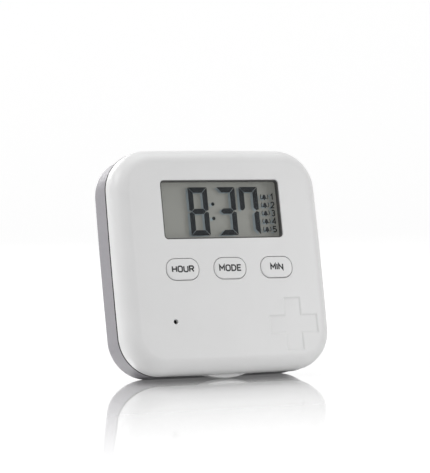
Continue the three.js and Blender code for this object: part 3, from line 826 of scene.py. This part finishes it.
def digit(bm, layer, lit, x, z, width):
    """A seven-segment digit with mitred ends, from its lower left corner."""
    height, bar, gap = 19.1, 2.1, 0.13
    mid, half = height / 2, bar / 2

    def flat(level, outward):
        if outward:
            tip, root = level, level - outward * bar
            return [(gap, tip), (width - gap, tip), (width - bar - gap, root), (bar + gap, root)]
        return [(half + gap, mid), (bar + gap, mid + half), (width - bar - gap, mid + half),
                (width - half - gap, mid), (width - bar - gap, mid - half), (bar + gap, mid - half)]

    def upright(side, top):
        a, b = (0, bar) if side < 0 else (width, width - bar)
        s = 1 if top else -1
        outer, inner = (height - gap, height - bar - gap) if top else (gap, bar + gap)
        near = mid + s * gap
        point = ((a + b) / 2, near)
        return [(a, outer), (b, inner), (b, near + s * half), point, (a, near + s * half * 0.4)]

    shapes = {
        "a": flat(height, 1), "g": flat(mid, 0), "d": flat(0, -1), "f": upright(-1, True),
        "b": upright(1, True), "e": upright(-1, False), "c": upright(1, False),
    }
    for name in lit:
        plate(bm, layer, [(x + px, z + pz) for px, pz in shapes[name]])


def bell(bm, layer, x, z):
    """A small bell with its clapper and a sound arc at each side."""
    size = 1.25
    body = [(-1.0, -0.62), (-0.66, -0.3)] + arc(0, 0.35, 0.42, 180, 0, 8) + [(0.66, -0.3), (1.0, -0.62)]
    clapper = arc(0, -0.78, 0.22, 0, 320, 8)
    for shape in (body, clapper):
        plate(bm, layer, [(x + px * size, z + pz * size) for px, pz in shape])
    for start, stop in ((35, -35), (145, 215)):
        strokes_mesh(bm, [arc(0, 0.1, 1.3 * size, start, stop)], 0.3, *layer, x, z)


def add_display(name, material, layer):
    """The lit segments: the time's digits and colon, and a column of five bells and their numbers."""
    bm = bmesh.new()
    bottom = 9.2
    digit(bm, layer, "abcdefg", -13.6, bottom, 8.2)
    digit(bm, layer, "abcdg", -1.3, bottom, 7.9)
    digit(bm, layer, "abcf", 8.4, bottom, 8.0)
    for x, z in ((-3.35, 21.6), (-3.5, 15.9)):
        plate(bm, layer, circle(0.72, x, z, 20))
    top_row, row_pitch, number_height = 24.2, 3.25, 2.25
    for row in range(5):
        z = top_row - row_pitch * row
        bell(bm, layer, 19.3, z)
        number = LETTERS[str(row + 1)]
        strokes = [[(px * number_height, pz * number_height) for px, pz in line] for line in number]
        strokes_mesh(bm, strokes, 0.46, *layer, 21.95, z - 1.1)
    bmesh.ops.recalc_face_normals(bm, faces=bm.faces)
    bmesh.ops.translate(bm, verts=bm.verts, vec=(DISPLAY_X, 0, DISPLAY_Z))
    finish_piece(to_object(name, bm), "lid", "part_black", material=material)


lid()
seal()
for button_index, button_name in enumerate(BUTTONS):
    keycap(button_index, button_name)
case()
inner_cover()
battery_door()
pill_insert()
add_labels()
add_display("display_segments", SEGMENT, SEGMENT_LAYER)
# The same shapes again, as a painted shadow laid on the reflector.
add_display("display_shadow", SHADOW, SHADOW_LAYER)


# ---- Floor and light ----

def add_floor():
    """A glossy white sweep whose mirror image fades away in front of the object."""
    bm = bmesh.new()
    bend_start, bend, reach, steps = 1.5, 1.2, 6, 24
    profile = [(-reach, 0), (bend_start, 0)]
    for t in (math.pi / 2 * i / steps for i in range(1, steps + 1)):
        profile.append((bend_start + bend * math.sin(t), bend - bend * math.cos(t)))
    profile.append((bend_start + bend, reach))
    rows = [[bm.verts.new((x, y, z)) for y, z in profile] for x in (-reach, reach)]
    for i in range(len(profile) - 1):
        bm.faces.new((rows[0][i], rows[1][i], rows[1][i + 1], rows[0][i + 1]))
    floor = to_object("floor", bm)
    floor.data.shade_smooth()
    n = Nodes("floor")
    place = n.add("ShaderNodeSeparateXYZ", Vector=n.coordinates).outputs["Y"]
    matte = n.set(Base_Color=(0.45, 0.45, 0.45, 1), Roughness=0.9)
    n.shader.inputs["Specular IOR Level"].default_value = 0.0
    n.shader.inputs["Emission Color"].default_value = (1, 1, 1, 1)
    seen, lighting = 0.72, 0.13
    diffuse = n.add("ShaderNodeLightPath").outputs["Is Diffuse Ray"]
    n.feed(n.shader.inputs["Emission Strength"], n.remap(diffuse, seen, lighting, 0, 1))
    gloss = n.add("ShaderNodeBsdfGlossy", Color=(1, 1, 1, 1), Roughness=0.06)
    ahead = n.math("ADD", n.fade(place, -0.30, -0.01, 0.76), n.fade(place, -0.03, -0.01, 0.11))
    share = n.math("MULTIPLY", ahead, n.fade(place, 0.25, 0.03, 1.0))
    mixed = n.add("ShaderNodeMixShader", Fac=share)
    n.tree.links.new(n.shader.outputs["BSDF"], mixed.inputs[1])
    n.tree.links.new(gloss.outputs["BSDF"], mixed.inputs[2])
    output = n.tree.nodes["Material Output"]
    n.tree.links.new(mixed.outputs["Shader"], output.inputs["Surface"])
    floor.data.materials.append(matte)


def add_light(name, place, aim, size, power):
    """A round soft box at place, turned to aim."""
    data = bpy.data.lights.new(name, "AREA")
    data.shape, data.size, data.energy = "DISK", size, power
    obj = bpy.data.objects.new(name, data)
    obj.location = place
    obj.rotation_euler = (Vector(aim) - Vector(place)).to_track_quat("-Z", "Y").to_euler()
    bpy.context.scene.collection.objects.link(obj)


def add_world(strength):
    world = bpy.data.worlds.new("studio")
    world.use_nodes = True
    background = world.node_tree.nodes["Background"]
    background.inputs["Color"].default_value = (1, 1, 1, 1)
    background.inputs["Strength"].default_value = strength
    bpy.context.scene.world = world


add_floor()
add_light("key", (0.40, -0.48, 0.16), (0, 0, 0.04), 0.3, 0.97)
add_light("side", (-0.7, 0.06, 0.55), (0, 0, 0.05), 0.5, 2.6)
add_light("back", (-0.15, 0.9, 0.5), (0, 0, 0.06), 0.5, 2.4)
add_light("top", (0.1, 0.0, 0.9), (0, 0, 0.05), 0.6, 1.7)
add_world(0.52)
bpy.context.scene.view_settings.view_transform = "Standard"
